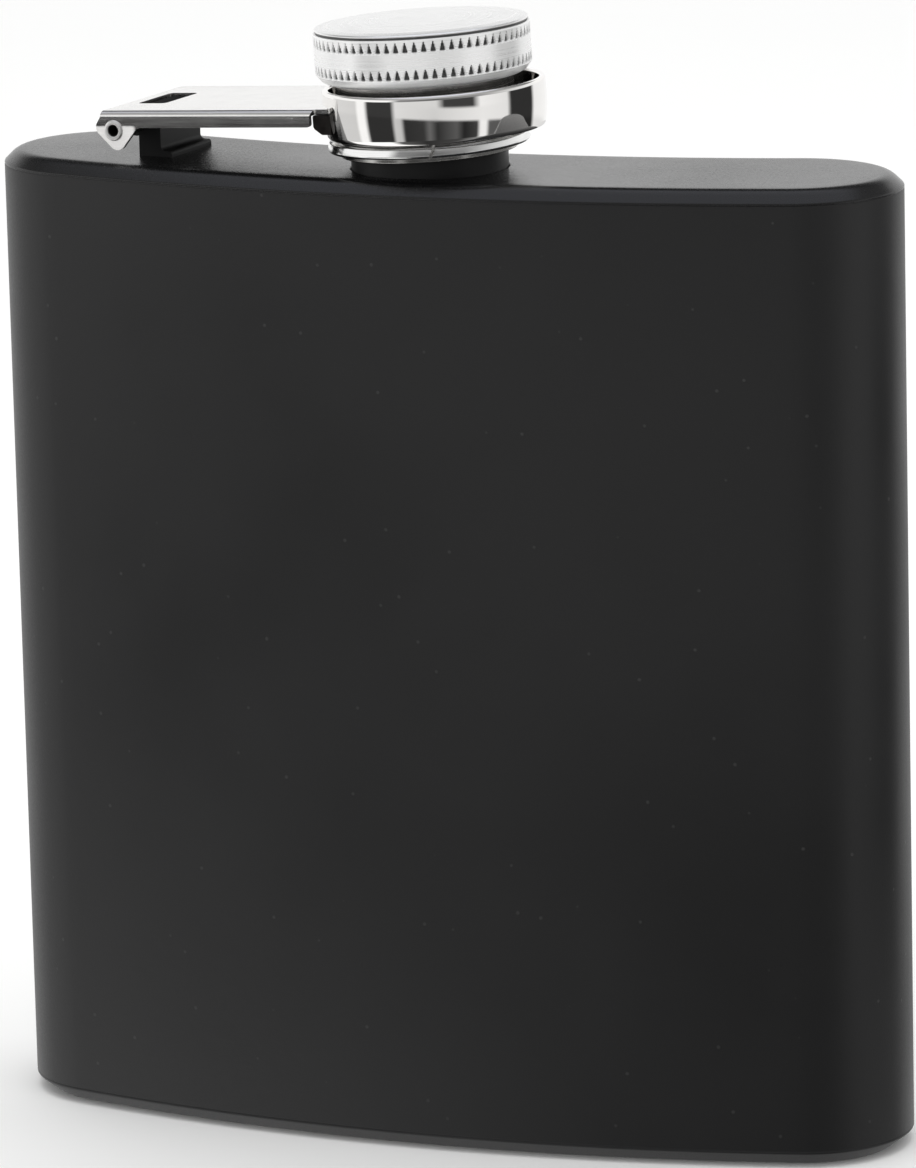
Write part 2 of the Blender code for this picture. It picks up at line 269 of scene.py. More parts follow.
# ========================================================= nodes and materials
class Nodes:
    """Short calls for the nodes of one shader tree."""

    def __init__(self, tree):
        self.tree = tree

    def node(self, kind, **inputs):
        made = self.tree.nodes.new(kind)
        for name, value in inputs.items():
            self.feed(made.inputs[name.replace("_", " ")], value)
        return made

    def feed(self, socket, value):
        if isinstance(value, bpy.types.NodeSocket):
            self.tree.links.new(value, socket)
        else:
            socket.default_value = value

    def math(self, operation, *values):
        made = self.tree.nodes.new("ShaderNodeMath")
        made.operation = operation
        for socket, value in zip(made.inputs, values):
            self.feed(socket, value)
        return made.outputs["Value"]

    def remap(self, value, low, high, to_low=0.0, to_high=1.0):
        made = self.node("ShaderNodeMapRange", Value=value)
        made.interpolation_type = "SMOOTHSTEP"
        for name, number in zip(("From Min", "From Max", "To Min", "To Max"),
                                (low, high, to_low, to_high)):
            made.inputs[name].default_value = number
        return made.outputs["Result"]

    def blend(self, amount, first, second):
        made = self.tree.nodes.new("ShaderNodeMix")
        made.data_type = "RGBA"
        self.feed(made.inputs["Factor"], amount)
        self.feed(made.inputs["A"], first if isinstance(first, bpy.types.NodeSocket) else (*first, 1.0))
        self.feed(made.inputs["B"], second if isinstance(second, bpy.types.NodeSocket) else (*second, 1.0))
        return made.outputs["Result"]

    def ramp(self, value, stops):
        """A grey ramp from (position, brightness) stops."""
        made = self.node("ShaderNodeValToRGB", Fac=value)
        elements = made.color_ramp.elements
        while len(elements) > 1:
            elements.remove(elements[-1])
        elements[0].position = stops[0][0]
        elements[0].color = (*[stops[0][1]] * 3, 1.0)
        for position, grey in stops[1:]:
            elements.new(position).color = (*[grey] * 3, 1.0)
        return made.outputs["Color"]


class Look(Nodes):
    """A Principled material under construction."""

    def __init__(self, name, metallic=0.0, specular=0.5):
        self.material = bpy.data.materials.new(name)
        self.material.use_nodes = True
        super().__init__(self.material.node_tree)
        self.shader = self.tree.nodes["Principled BSDF"]
        self.shader.inputs["Metallic"].default_value = metallic
        self.shader.inputs["Specular IOR Level"].default_value = specular
        self.place = self.node("ShaderNodeTexCoord").outputs["Object"]

    def stretched(self, x, y, z):
        """Object coordinates with each axis scaled."""
        return self.node("ShaderNodeMapping", Vector=self.place, Scale=(x, y, z)).outputs["Vector"]

    def along(self, axis):
        """One of the object coordinates."""
        return self.node("ShaderNodeSeparateXYZ", Vector=self.place).outputs[axis]

    def from_axis(self, axis="Z"):
        """Distance from one of the object's own axes."""
        first, second = (name for name in "XYZ" if name != axis)
        return self.math("SQRT", self.math("ADD", self.math("POWER", self.along(first), 2.0),
                                           self.math("POWER", self.along(second), 2.0)))

    def around_axis(self, along, radial):
        """Coordinates of rings round the piece's Z axis: height and distance from it."""
        made = self.node("ShaderNodeCombineXYZ", X=self.math("MULTIPLY", self.from_axis(), radial),
                         Z=self.math("MULTIPLY", self.along("Z"), along))
        return made.outputs["Vector"]

    def noise(self, vector, scale, detail=3.0, roughness=0.5):
        made = self.node("ShaderNodeTexNoise", Vector=vector, Scale=scale, Detail=detail,
                         Roughness=roughness)
        return made.outputs["Fac"]

    def bump(self, height, strength, distance, below=None):
        made = self.node("ShaderNodeBump", Height=height, Strength=strength, Distance=distance)
        if below is not None:
            self.feed(made.inputs["Normal"], below)
        return made.outputs["Normal"]

    def finish(self, colour, roughness, normal):
        self.feed(self.shader.inputs["Base Color"], colour)
        self.feed(self.shader.inputs["Roughness"], roughness)
        self.feed(self.shader.inputs["Normal"], normal)
        return self.material


def black_coating(name, base, roughness, peel, grain, specular=0.5):
    """Sprayed black coat: faint clouds of tone, orange peel, fine grain, rare dust specks."""
    look = Look(name, specular=specular)
    clouds = look.noise(look.place, 45.0, 4.0)
    fine = look.noise(look.place, 5200.0, 2.0, 0.6)
    waves = look.noise(look.place, 620.0, 2.0)
    dust = look.node("ShaderNodeTexVoronoi", Vector=look.place, Scale=330.0, Randomness=1.0)
    speck = look.remap(dust.outputs["Distance"], 0.035, 0.075, 1.0, 0.0)
    tone = look.remap(clouds, 0.3, 0.7)
    lighter = tuple(channel * 1.25 for channel in base)
    colour = look.blend(tone, base, lighter)
    colour = look.blend(look.math("MULTIPLY", speck, 0.25), colour, (0.075, 0.075, 0.072))
    rough = look.math("ADD", look.remap(clouds, 0.25, 0.75, roughness - 0.03, roughness + 0.03),
                      look.remap(fine, 0.3, 0.7, -0.03, 0.03))
    normal = look.bump(waves, peel, 0.00012)
    normal = look.bump(fine, grain, 0.00003, normal)
    normal = look.bump(speck, 0.35, 0.00003, normal)
    return look.finish(colour, rough, normal)


def notch_shade(look):
    """How deep a point lies in the cap's notches, from 0 on the band to 1 at their bottom; the notches are
    darkened there as painted shade.
    """
    deep = look.remap(look.from_axis(), (CAP_RADIUS - 0.30) * MM, (CAP_RADIUS - 0.05) * MM, 1.0, 0.0)
    above = look.remap(look.along("Z"), 9.70 * MM, 9.75 * MM)
    below = look.remap(look.along("Z"), 13.86 * MM, 13.89 * MM, 1.0, 0.0)
    return look.math("MULTIPLY", deep, look.math("MULTIPLY", above, below))


def bore_shade(look):
    """The inside of the rivet's bore, darkened as painted shade."""
    return look.remap(look.from_axis(), 0.54 * MM, 0.62 * MM, 1.0, 0.0)


def channel_shade(look):
    """The inside of the arm's channel, darkened as painted shade."""
    inside = look.remap(look.math("ABSOLUTE", look.along("Y")), 7.95 * MM, 8.05 * MM, 0.85, 0.0)
    return look.math("MULTIPLY", inside, look.remap(look.along("Z"), 1.45 * MM, 1.55 * MM, 1.0, 0.0))


def ear_front(look):
    """The lower, frosted half of an ear's outer face."""
    near = look.remap(look.from_axis("Y"), 2.0 * MM, 2.6 * MM, 1.0, 0.0)
    outer = look.remap(look.math("ABSOLUTE", look.along("Y")), 8.2 * MM, 8.35 * MM)
    lower = look.remap(look.along("Z"), 0.25 * MM, 0.55 * MM, 1.0, 0.0)
    return look.math("MULTIPLY", near, look.math("MULTIPLY", outer, lower))


def cap_side(look):
    """The cap's side, as far up as the groove under its top, and less so the top."""
    return look.remap(look.along("Z"), 13.84 * MM, 13.90 * MM, 1.0, 0.45)


def steel(name, base, roughness, spread, lines, scratches, strength, tone=0.10, painted_shade=None,
          frosted=None, frost=(0.0, 1.0)):
    """Bare or plated steel; lines(look) gives the coordinates its brush marks follow.

    The shade mask, given after tone, marks where shade is painted: the colour is darkened there.
    frosted(look) marks where the surface is dull: frost is the roughness added there and how metallic it
    is.
    """
    look = Look(name, metallic=1.0)
    marks = look.noise(lines(look), 1.0, 5.0, 0.65)
    broad = look.noise(look.place, 160.0, 3.0)
    smudge = look.noise(look.place, 520.0, 4.0, 0.6)
    hair = look.node("ShaderNodeTexVoronoi", Vector=look.stretched(260.0, 2100.0, 900.0), Scale=1.0)
    scratch = look.remap(hair.outputs["Distance"], 0.02, 0.06, 1.0, 0.0)
    darker = tuple(channel * (1.0 - tone) for channel in base)
    colour = look.blend(look.remap(marks, 0.35, 0.65), darker, base)
    colour = look.blend(look.remap(broad, 0.45, 0.75, 0.0, 0.5), colour, darker)
    # Painted shade: the colour is darkened towards near black where the shade mask marks.
    if painted_shade is not None:
        colour = look.blend(look.math("MULTIPLY", painted_shade(look), 0.9), colour, (0.02, 0.02, 0.02))
    rough = look.remap(marks, 0.3, 0.7, roughness - spread, roughness + spread)
    rough = look.math("ADD", rough, look.remap(smudge, 0.45, 0.8, 0.0, 0.05))
    rough = look.math("ADD", rough, look.math("MULTIPLY", scratch, scratches))
    if frosted is not None:
        patch = frosted(look)
        rough = look.math("ADD", rough, look.math("MULTIPLY", patch, frost[0]))
        look.feed(look.shader.inputs["Metallic"], look.remap(patch, 0.0, 1.0, 1.0, frost[1]))
    normal = look.bump(marks, strength, 0.00002)
    normal = look.bump(scratch, scratches, 0.00001, normal)
    return look.finish(colour, rough, normal)


def silicone_look():
    look = Look("silicone", specular=0.45)
    clouds = look.noise(look.place, 380.0, 3.0)
    fine = look.noise(look.place, 4200.0, 2.0)
    look.shader.inputs["Subsurface Weight"].default_value = 0.25
    look.shader.inputs["Subsurface Scale"].default_value = 0.001
    colour = look.blend(clouds, (0.55, 0.55, 0.52), (0.66, 0.66, 0.63))
    return look.finish(colour, look.remap(fine, 0.3, 0.7, 0.42, 0.55), look.bump(fine, 0.2, 0.00003))


def floor_look():
    """Pale matt floor that is clear from below, so the underside can be looked at."""
    look = Look("pale_floor", specular=0.2)
    clouds = look.noise(look.place, 6.0, 3.0)
    fine = look.noise(look.place, 900.0, 2.0)
    colour = look.blend(clouds, (0.92, 0.92, 0.915), (0.94, 0.94, 0.935))
    made = look.finish(colour, look.remap(fine, 0.3, 0.7, 0.75, 0.85), look.bump(fine, 0.02, 0.0001))
    one_sided = look.tree.nodes.new("ShaderNodeMixShader")
    look.feed(one_sided.inputs[0], look.node("ShaderNodeNewGeometry").outputs["Backfacing"])
    look.feed(one_sided.inputs[1], look.shader.outputs["BSDF"])
    look.feed(one_sided.inputs[2], look.node("ShaderNodeBsdfTransparent").outputs["BSDF"])
    look.feed(look.tree.nodes["Material Output"].inputs["Surface"], one_sided.outputs["Shader"])
    return made


# ===================================================================== body
def flask_outline(inset, height, side_steps=56, end_steps=28):
    """The flask's plan outline, moved inwards by inset: a thick arc with round ends."""
    reach = math.asin((HALF_WIDTH - HALF_THICKNESS) / BEND_RADIUS)
    half = HALF_THICKNESS - inset
    points = []

    def side(radius, start, end):
        for i in range(side_steps):
            a = start + (end - start) * i / side_steps
            points.append((radius * math.sin(a), BEND_RADIUS - radius * math.cos(a), height))

    def end_cap(angle, start):
        x = BEND_RADIUS * math.sin(angle)
        y = BEND_RADIUS - BEND_RADIUS * math.cos(angle)
        for i in range(end_steps):
            a = start + math.pi * i / end_steps
            points.append((x + half * math.cos(a), y + half * math.sin(a), height))

    side(BEND_RADIUS + half, -reach, reach)
    end_cap(reach, reach - math.pi / 2.0)
    side(BEND_RADIUS - half, reach, -reach)
    end_cap(-reach, math.pi / 2.0 - reach)
    return points


def rim_height(rim):
    return rim[-1][1]


def rim_profile(rim, edge, direction):
    """(inset, height) points of a chamfered, softened rim from the wall to the flat face."""
    corners = [(inset, edge + direction * rise, *ease) for inset, rise, *ease in rim]
    return soften(corners, 8, closed=False)


def rings_of(profile):
    return [flask_outline(inset, height) for inset, height in profile]


def body_wrap(look):
    """The wrapped sheet, with a small round-over at both ends."""
    ease = 0.07
    low = rim_height(BOTTOM_RIM) + 0.27
    high = BODY_HEIGHT - rim_height(TOP_RIM) - 0.27
    profile = soften([(0.0, low, ease), (0.0, high, ease), (SHEET, high, ease), (SHEET, low, ease)], 3)
    piece("flask_wrap", skin(rings_of(profile), closed=True), look, "flask",
          ["body_wrap"], sharp=40.0)


def end_plate_rings(face, direction, rim):
    """Rings from the inner ceiling round the skirt and over the rim to the flat face."""
    edge = face - direction * rim_height(rim)
    skirt_end = edge - direction * SKIRT_DEPTH
    outer = SHEET + 0.3
    inner = outer + SHEET
    lip = edge - direction * 0.22
    inside = soften([(inner + 3.0, face - direction * PLATE), (inner, face - direction * PLATE, 0.5),
                     (inner, skirt_end, 0.1), (outer, skirt_end, 0.1), (outer, lip, 0.1),
                     (0.0, lip, 0.07), (0.0, edge, 0.0)], 4, closed=False)
    return rings_of(inside[:-1] + rim_profile(rim, edge, direction)[1:])


def hole_ring(radius, outline, height):
    """A round hole's edge with one point towards each point of the outline."""
    ring = []
    for x, y, _ in outline:
        a = math.atan2(y, x)
        ring.append((radius * math.cos(a), radius * math.sin(a), height))
    return ring


def top_plate(look):
    rings = end_plate_rings(BODY_HEIGHT, 1.0, TOP_RIM)
    last = rings[-1]
    hole = 7.67
    collar = [hole_ring(hole + 0.1, last, BODY_HEIGHT), hole_ring(hole, last, BODY_HEIGHT - 0.1),
              hole_ring(hole, rings[0], BODY_HEIGHT - PLATE)]
    piece("deck_plate", skin(rings + collar, closed=True), look, "flask",
          ["top_plate"], sharp=40.0)


def bottom_plate(look):
    piece("base_plate", skin(end_plate_rings(0.0, -1.0, BOTTOM_RIM)), look, "flask",
          ["bottom_plate"], sharp=40.0)


def rim_weld(name, look, height):
    """The ground and coated weld line that closes the small step between wrap and end plate."""
    profile = soften([(0.03, height - 0.05, 0.02), (0.03, height + 0.05, 0.02),
                      (0.35, height + 0.05), (0.35, height - 0.05)], 3)
    piece(name, skin(rings_of(profile), closed=True), look, "flask")


# ===================================================================== neck
def thread_height(height, angle, start, end, depth):
    """How far a thread's flank stands out at this height and angle."""
    phase = (height / THREAD_PITCH - angle / (2.0 * math.pi)) % 1.0
    flank = 0.5 - 0.5 * math.cos(2.0 * math.pi * phase)
    fade = min(max((height - start) / 0.8, 0.0), 1.0) * min(max((end - height) / 0.8, 0.0), 1.0)
    return depth * fade * flank ** 0.7


def neck_spout(look):
    """Neck tube with a rolled thread and an eased lip, welded under the deck."""
    root = 6.80
    start, end = 2.3, 8.6

    def shift(radius, height, angle):
        if abs(radius - root) > 1e-6:
            return radius
        return root + thread_height(height, angle, start, end, 7.22 - root)

    outside = soften([(8.4, -1.8, 0.15), (8.4, -1.1, 0.15), (7.6, -1.1, 0.1), (7.6, 2.0, 0.25),
                      (root, 2.15, 0.2), (root, start)], 4, closed=False)
    threaded = subdivided((root, start), (root, end), 84)
    inside = soften([(root, end), (root, 9.0, 0.3), (6.1, 9.0, 0.25), (6.1, -1.8, 0.1)],
                    5, closed=False)
    piece("neck_tube", turned(outside[:-1] + threaded + inside, 144, shift=shift), look, "flask",
          ["neck_spout"], DECK_FRAME, sharp=50.0)


# ==================================================================== hinge
def hinge_bracket(look):
    """Knuckle round the rivet, with a block beside it that stands on a foot."""
    sole = -PIN_HEIGHT
    left, right = BLOCK
    outline = soften([(left, sole), (FOOT_END, sole), (FOOT_END, sole + FOOT_SHEET, 0.3),
                      (right, sole + FOOT_SHEET, 0.5), (right, BLOCK_TOP, 0.3),
                      (left + 0.05, BLOCK_TOP, 0.2), (-0.105, 1.195)], 6, closed=False)
    outline += arc(KNUCKLE_RADIUS, 95.0, 284.0, 28)
    bore = arc(PIN_RADIUS + 0.06, 0.0, 348.75, 31)
    bm = thick(filled(outline, [bore]), -BRACKET_HALF_WIDTH, BRACKET_HALF_WIDTH)
    made = piece("hinge_knuckle", bm, look, "flask", ["hinge_bracket"],
                 BRACKET_FRAME @ Matrix.Rotation(math.pi / 2.0, 4, "X"))
    bevel(made, 0.12)


def hinge_tab(look):
    """The bracket's tongue, which fills the arm's window from below."""
    left, right = TONGUE
    outline = soften([(left, 1.1), (right, 1.1), (right, TONGUE_TOP, 0.25),
                      (left, TONGUE_TOP, 0.25)], 5)
    bm = thick(filled(outline), -TONGUE_HALF_WIDTH, TONGUE_HALF_WIDTH)
    made = piece("hinge_tab", bm, look, "flask",
                 place=BRACKET_FRAME @ Matrix.Rotation(math.pi / 2.0, 4, "X"))
    bevel(made, 0.08)


def hinge_rivet(look):
    """Tubular rivet: straight shank, a rolled head at each end."""
    inside, outside = 8.42, 8.58
    half = [(0.60, -outside, 0.06), (0.85, -outside, 0.20), (1.02, -inside - 0.03, 0.05),
            (1.02, -inside, 0.02), (PIN_RADIUS, -inside, 0.03)]
    other = [(r, -z, e) for r, z, e in reversed(half)]
    bore = [(0.52, outside - 0.3, 0.15), (0.52, -outside + 0.3, 0.15)]
    piece("hinge_rivet", turned(soften(half + other + bore, 5), 48), look, "arm",
          ["hinge_pin"], ACROSS_ARM, sharp=60.0)


def arm_end(y):
    """Where the arm meets the collar, at a distance y from its middle line."""
    return COLLAR_CENTRE - math.sqrt((COLLAR_RADIUS + 0.02) ** 2 - y * y)


def lid_arm(look):
    """Channel strap from one sheet: top with a window, round bends, side walls with ears."""
    flat = ARM_HALF_WIDTH - ARM_BEND
    bend_z = ARM_TOP - ARM_BEND
    ear_left, ear_foot, ear_right = EAR_CORNERS

    end_curve = [(arm_end(flat * k / 20.0), flat * k / 20.0) for k in range(-20, 21)]
    outline = [(ARM_END, flat), (ARM_END, -flat), (ARM_WALL_END, -flat)] + end_curve
    outline.append((ARM_WALL_END, flat))
    left, right = WINDOW
    wide = WINDOW_HALF_WIDTH
    window = soften([(left, -wide, 0.5), (right, -wide, 0.5), (right, wide, 0.5), (left, wide, 0.5)], 5)
    top = filled(outline, [window])
    bmesh.ops.translate(top, verts=top.verts, vec=(0.0, 0.0, ARM_TOP))
    parts = [top]

    wall = soften([(ARM_WALL_END - 0.35, bend_z), (ARM_END - 0.15, bend_z), ear_left, ear_foot,
                   ear_right, (ARM_WALL_END - 0.35, ARM_EDGE, 0.35)], 8)
    eye = arc(PIN_RADIUS + 0.02, 0.0, 348.75, 31)
    for side in (-1.0, 1.0):
        cheek = filled(wall, [eye])
        for vert in cheek.verts:
            vert.co = Vector((vert.co.x, side * ARM_HALF_WIDTH, vert.co.y))
        parts.append(cheek)
        bend = bmesh.new()
        rows = []
        for k in range(9):
            a = math.pi / 2.0 * k / 8.0
            y = side * (flat + ARM_BEND * math.sin(a))
            z = bend_z + ARM_BEND * math.cos(a)
            start = ARM_END - 0.15 * k / 8.0
            end = ARM_WALL_END - 0.35 * (1.0 - math.cos(a))
            rows.append([bend.verts.new((start, y, z)), bend.verts.new((end, y, z))])
        for upper, lower in zip(rows, rows[1:]):
            bend.faces.new((upper[0], upper[1], lower[1], lower[0]))
        parts.append(bend)

    bm = joined(*parts)
    bmesh.ops.recalc_face_normals(bm, faces=bm.faces)
    if sum(face.normal.z * face.calc_area() for face in bm.faces) < 0.0:
        bmesh.ops.reverse_faces(bm, faces=bm.faces)
    made = piece("cap_arm", bm, look, "arm", ["lid_arm"], ARM_FRAME, fix=False)
    sheet = made.modifiers.new("sheet", "SOLIDIFY")
    sheet.thickness = ARM_SHEET * MM
    sheet.offset = -1.0
    sheet.use_even_offset = True
    bevel(made, 0.07)


def collar_ring(look):
    """Mirror band, drawn in a little towards its lower edge, with an inner lip."""
    low = -COLLAR_HEIGHT / 2.0
    high = COLLAR_HEIGHT / 2.0
    inner = COLLAR_RADIUS - 0.65
    belly = []
    for k in range(17):
        share = k / 16.0
        radius = COLLAR_RADIUS - 0.44 * (share - 0.727) ** 2
        belly.append((radius, low + 0.22 + (COLLAR_HEIGHT - 0.40) * share))
    lip = [(inner, high, 0.22), (inner, low + 1.3, 0.15), (9.7, low + 1.3, 0.2), (9.7, low + 0.6, 0.2),
           (inner, low + 0.6, 0.1), (inner, low, 0.15)]
    corners = [(COLLAR_RADIUS - 0.40, low, 0.15)] + belly + [(COLLAR_RADIUS - 0.18, high, 0.15)] + lip
    middle = Matrix.Translation((COLLAR_CENTRE * MM, 0.0, COLLAR_MIDDLE * MM))
    place = ARM_FRAME @ middle @ Matrix.Rotation(ARM_YAW, 4, "Z")
    piece("collar_band", turned(soften(corners, 5), 160), look, "arm",
          ["collar_ring"], place, sharp=50.0)


def arm_weld(look):
    """Small brazed fillet where the strap's end meets the collar."""
    rows = []
    steps = 40
    reach = math.asin((ARM_HALF_WIDTH - ARM_BEND - 0.1) / COLLAR_RADIUS)
    for k in range(steps + 1):
        a = math.pi - reach + 2.0 * reach * k / steps
        ring = []
        for out, z in ((-0.15, ARM_TOP + 0.16), (0.0, ARM_TOP + 0.14), (0.07, ARM_TOP + 0.03),
                       (0.17, ARM_TOP - 0.02), (0.17, ARM_TOP - 0.15), (-0.15, ARM_TOP - 0.15)):
            r = COLLAR_RADIUS + out
            ring.append((COLLAR_CENTRE + r * math.cos(a), r * math.sin(a), z))
        rows.append(ring)
    piece("arm_weld", skin(rows), look, "arm", place=ARM_FRAME)


def arm_gusset(name, look, side):
    """Brazed corner piece between a side wall's end and the collar; its near-black steel is painted shade.
    """
    outer, inner = 7.95, 6.6
    start = ARM_WALL_END - 0.20
    end = arm_end(outer) + 0.1
    top = ARM_TOP - 0.55
    shape = soften([(start, top, 0.2), (start, 0.10, 0.5), (start + 0.9, GUSSET_FOOT, 0.4),
                    (end, GUSSET_FOOT), (end, top)], 6)
    rows = []
    for y, blend in ((outer, 0.0), (inner, 1.0)):
        pull = (arm_end(inner) - arm_end(outer)) * blend
        rows.append([(x + pull * (x - start) / 3.0, side * y, z) for x, z in shape])
    piece(name, skin(rows), look, "arm", place=ARM_FRAME)


# ====================================================================== cap
def tooth_depth(height, angle):
    """Depth of the grip's notches: two rows, each notch wide below and pointed above."""
    across = abs((CAP_TEETH * angle / (2.0 * math.pi)) % 1.0 - 0.5) * 2.0
    for middle in TOOTH_ROWS:
        rise = (height - middle) / TOOTH_HEIGHT + 0.5
        if 0.0 <= rise <= 1.0:
            half = 0.74 * (1.0 - rise) + 0.08
            foot = min(rise / 0.15, 1.0)
            return 0.42 * foot * min(2.0 * max(0.0, 1.0 - across / half), 1.0)
    return 0.0


def cap_shell(look):
    """Knurled head: round foot, band with two rows of notches, a groove and a flat top."""
    grip = CAP_RADIUS

    def shift(radius, height, angle):
        if radius < grip - 0.01:
            return radius
        return radius - tooth_depth(height, angle)

    foot = soften([(9.35, CAP_BOTTOM + 0.10, 0.05), (9.48, CAP_BOTTOM, 0.10),
                   (9.95, CAP_BOTTOM + 0.28, 0.40), (grip, CAP_BOTTOM + 0.90, 0.40),
                   (grip, 9.75)], 5, closed=False)
    band = subdivided((grip, 9.75), (grip, 13.40), 48)
    head = soften([(grip, 13.40), (grip, 13.62, 0.10), (10.12, 13.68, 0.05), (10.12, 13.84, 0.04),
                   (10.40, 13.90, 0.06), (10.20, 14.08, 0.15), (9.20, 14.22, 0.80),
                   (5.0, 14.40, 3.0), (1.0, CAP_TOP)], 5, closed=False)
    inside = [(9.3, 13.1), (9.3, CAP_BOTTOM + 0.15)]
    profile = inside + foot[:-1] + band + head
    piece("cap_head", turned(profile, CAP_TEETH * 10, closed=False, shift=shift), look, "cap",
          ["cap_shell"], CAP_FRAME, sharp=48.0)


def cap_core(look):
    """Stem of the cap with the female thread inside."""
    bore = 8.3
    start, end = 2.0, 9.0

    def shift(radius, height, angle):
        if abs(radius - bore) > 1e-6:
            return radius
        return bore - thread_height(height, angle, start, end, 0.28)

    outside = soften([(9.0, 12.5, 0.2), (9.0, 11.1, 0.2), (8.55, 10.5, 0.3), (8.55, 1.55, 0.08),
                      (bore, 1.6, 0.05), (bore, start)], 4, closed=False)
    threaded = subdivided((bore, start), (bore, end), 72)
    top = [(bore, end), (8.0, 9.6), (8.0, 11.2), (7.9, 11.3), (1.0, 11.3)]
    profile = [(1.0, 12.5)] + outside[:-1] + threaded + top
    piece("cap_stem", turned(profile, 144, closed=False, shift=shift), look, "cap",
          ["cap_core"], CAP_FRAME, sharp=45.0)


def seal_disc(look):
    profile = soften([(1.0, 11.2), (7.7, 11.2, 0.2), (7.7, 9.8, 0.2), (7.2, 9.8, 0.1), (7.05, 9.95, 0.1),
                      (6.0, 9.95, 0.1), (5.85, 9.8, 0.1), (1.0, 9.8)], 4, closed=False)
    piece("seal_washer", turned(profile, 96, closed=False), look, "cap",
          ["seal_disc"], CAP_FRAME)


def retaining_ring(look):
    """Split ring, a little wider at its foot; its two cut ends slant."""
    profile = soften([(8.72, 2.12, 0.05), (9.62, 2.12, 0.12), (9.80, 2.35, 0.12), (9.62, 3.08, 0.10),
                      (8.72, 3.08, 0.05)], 4)
    middle = math.radians(-67.0)
    half_slit = 0.018
    slant = 0.05
    steps = 160
    rings = []
    for k in range(steps + 1):
        share = k / steps
        ring = []
        for radius, height in profile:
            start = middle + half_slit + slant * (height - 2.6)
            a = start + share * (2.0 * math.pi - 2.0 * half_slit)
            ring.append((radius * math.cos(a), radius * math.sin(a), height))
        rings.append(ring)
    piece("split_ring", skin(rings), look, "cap", ["retaining_ring"], CAP_FRAME,
          sharp=50.0)


# =================================================================== studio
def studio_floor(look):
    """A wide, flat, pale disc just under the resting face, which isn't mirrored in the metal."""
    profile = [(4.0 * 1.35 ** k, 0.0) for k in range(22)]
    bm = turned(profile, 96, closed=False)
    for face in list(bm.faces):
        if len(face.verts) > 4 and face.calc_area() > 1000.0:
            bm.faces.remove(face)
    bmesh.ops.recalc_face_normals(bm, faces=bm.faces)
    if bm.faces[0].normal.z < 0.0:
        bmesh.ops.reverse_faces(bm, faces=bm.faces)
    bmesh.ops.scale(bm, verts=bm.verts, vec=(10.0 * MM, 10.0 * MM, 10.0 * MM))
    mesh = bpy.data.meshes.new("floor")
    bm.to_mesh(mesh)
    bm.free()
    mesh.materials.append(look)
    floor = bpy.data.objects.new("floor", mesh)
    bpy.context.scene.collection.objects.link(floor)
    floor.location.z = -FLOOR_DROP * MM
    floor.visible_glossy = False


def studio_light(name, place, target, size, radiance):
    """A soft area light of the given radiance, which isn't mirrored in the metal."""
    data = bpy.data.lights.new(name, "AREA")
    data.shape = "RECTANGLE"
    data.size, data.size_y = size
    data.energy = radiance * math.pi * size[0] * size[1]
    lamp = bpy.data.objects.new(name, data)
    lamp.visible_glossy = False
    bpy.context.scene.collection.objects.link(lamp)
    lamp.location = place
    lamp.rotation_euler = (Vector(target) - Vector(place)).to_track_quat("-Z", "Y").to_euler()


